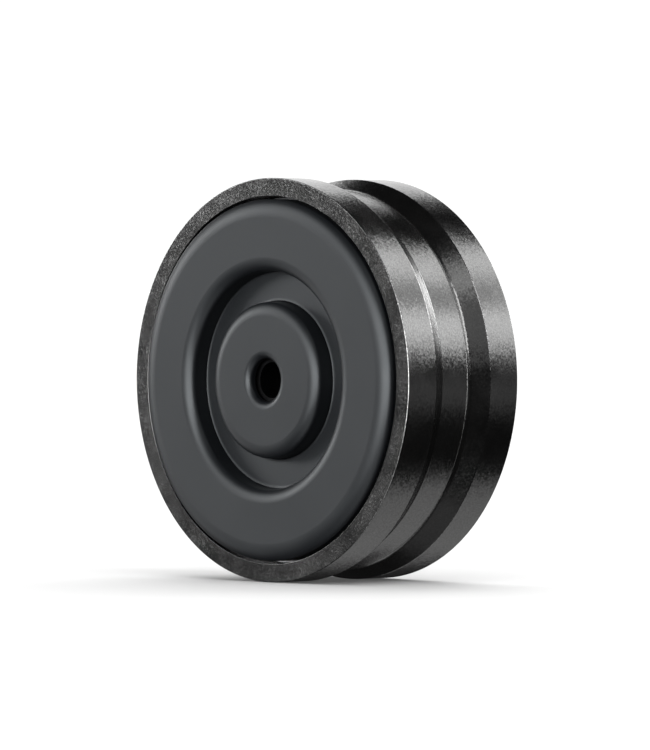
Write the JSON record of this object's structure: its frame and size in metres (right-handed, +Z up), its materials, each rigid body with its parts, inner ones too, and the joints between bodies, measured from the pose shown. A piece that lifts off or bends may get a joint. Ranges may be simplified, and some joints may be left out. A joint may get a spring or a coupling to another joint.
{
  "type": "vibration isolation foot",
  "caption": "Round isolation foot: a black metal body with a shallow groove round its rim, and on each face a rubber ring round a sprung rubber boss with a bolt hole.",
  "frame": {"origin": "on the foot's axis, half way between its two faces", "axes": "+Y along the axis, from the front face to the rear face; +Z up as it stands on its rim"},
  "size_m": [0.076, 0.0312, 0.076],
  "materials": {
    "body_metal": "fine textured black, satin",
    "rubber_face": "matte moulded rubber",
    "elastomer": "matte",
    "zinc_steel": "zinc plated",
    "insert_steel": "black oxide"
  },
  "bodies": {
    "housing": {"front_shell": "body_metal", "front_pad": "rubber_face", "front_web": "rubber_face", "front_backing_ring": "zinc_steel", "front_rebound_ring": "elastomer", "front_isolator": "elastomer", "front_backing_screw_1": "zinc_steel", "front_backing_screw_2": "zinc_steel", "front_backing_screw_3": "zinc_steel", "rear_shell": "body_metal", "rear_pad": "rubber_face", "rear_web": "rubber_face", "rear_backing_ring": "zinc_steel", "rear_rebound_ring": "elastomer", "rear_isolator": "elastomer", "rear_backing_screw_1": "zinc_steel", "rear_backing_screw_2": "zinc_steel", "rear_backing_screw_3": "zinc_steel", "centre_plate": "zinc_steel", "shell_seal": "elastomer", "shell_screw_1": "zinc_steel", "shell_screw_2": "zinc_steel", "shell_screw_3": "zinc_steel", "shell_screw_4": "zinc_steel", "shell_screw_5": "zinc_steel", "shell_screw_6": "zinc_steel"},
    "front_core": {"front_core": "zinc_steel", "front_insert": "insert_steel", "front_boss": "rubber_face"},
    "rear_core": {"rear_core": "zinc_steel", "rear_insert": "insert_steel", "rear_boss": "rubber_face"}
  },
  "joints": [
    {"name": "front_core_slide", "type": "slide", "parent": "housing", "child": "front_core", "axis": [0, 1, 0], "range_m": [0, 0.0012], "stiffness_N_per_m": 100000, "deforming": ["front_isolator"]},
    {"name": "rear_core_slide", "type": "slide", "parent": "housing", "child": "rear_core", "axis": [0, -1, 0], "range_m": [0, 0.0012], "stiffness_N_per_m": 100000, "deforming": ["rear_isolator"]}
  ]
}
